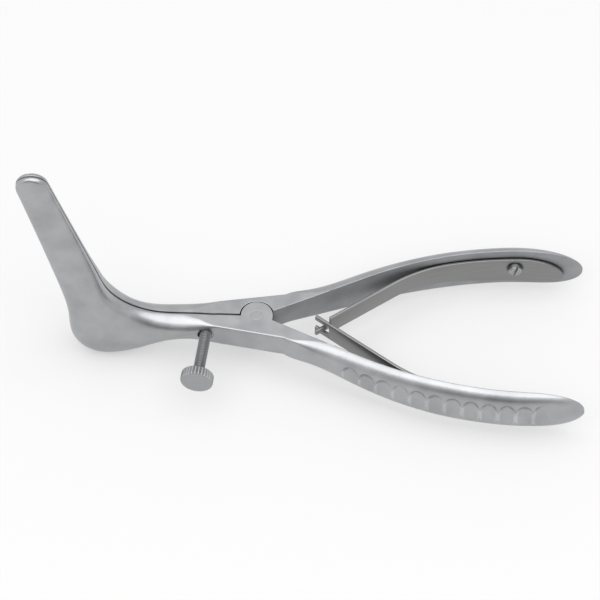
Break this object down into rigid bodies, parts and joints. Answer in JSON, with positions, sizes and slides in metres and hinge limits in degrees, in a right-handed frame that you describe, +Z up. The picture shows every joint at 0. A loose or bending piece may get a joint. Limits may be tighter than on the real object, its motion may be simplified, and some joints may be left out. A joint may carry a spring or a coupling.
{
  "type": "nasal speculum",
  "caption": "Steel nasal speculum: long blades bent upwards from a lap joint, leaf-sprung scalloped handles and a knurled set screw that holds the blades open.",
  "frame": {"origin": "on the pivot axis, at the underside of the joint", "axes": "+X from the joint towards the handles, +Z up along the pivot axis, on the side the blades rise; the front arm is on the -Y side"},
  "size_m": [0.1464, 0.051, 0.073],
  "materials": {
    "satin_steel": "satin, bead blasted",
    "spring_steel": "satin, rolled strip"
  },
  "bodies": {
    "front": {"front_arm": "satin_steel", "pivot_pin": "satin_steel", "front_spring": "spring_steel", "front_spring_screw": "satin_steel"},
    "rear": {"rear_arm": "satin_steel", "rear_spring": "spring_steel", "rear_spring_screw": "satin_steel"},
    "screw": {"set_screw": "satin_steel"}
  },
  "joints": [
    {"name": "pivot", "type": "hinge", "parent": "front", "child": "rear", "pos_m": [0, 0, 0.0038], "axis": [0, 0, -1], "range_deg": [0, 22], "stiffness_Nm_per_rad": 1.2, "springref_deg": -6.88, "deforming": ["front_spring", "rear_spring"]},
    {"name": "set_screw_travel", "type": "slide", "parent": "front", "child": "screw", "axis": [0.1219, 0.9925, 0], "range_m": [-0.0014, 0.0014]}
  ]
}
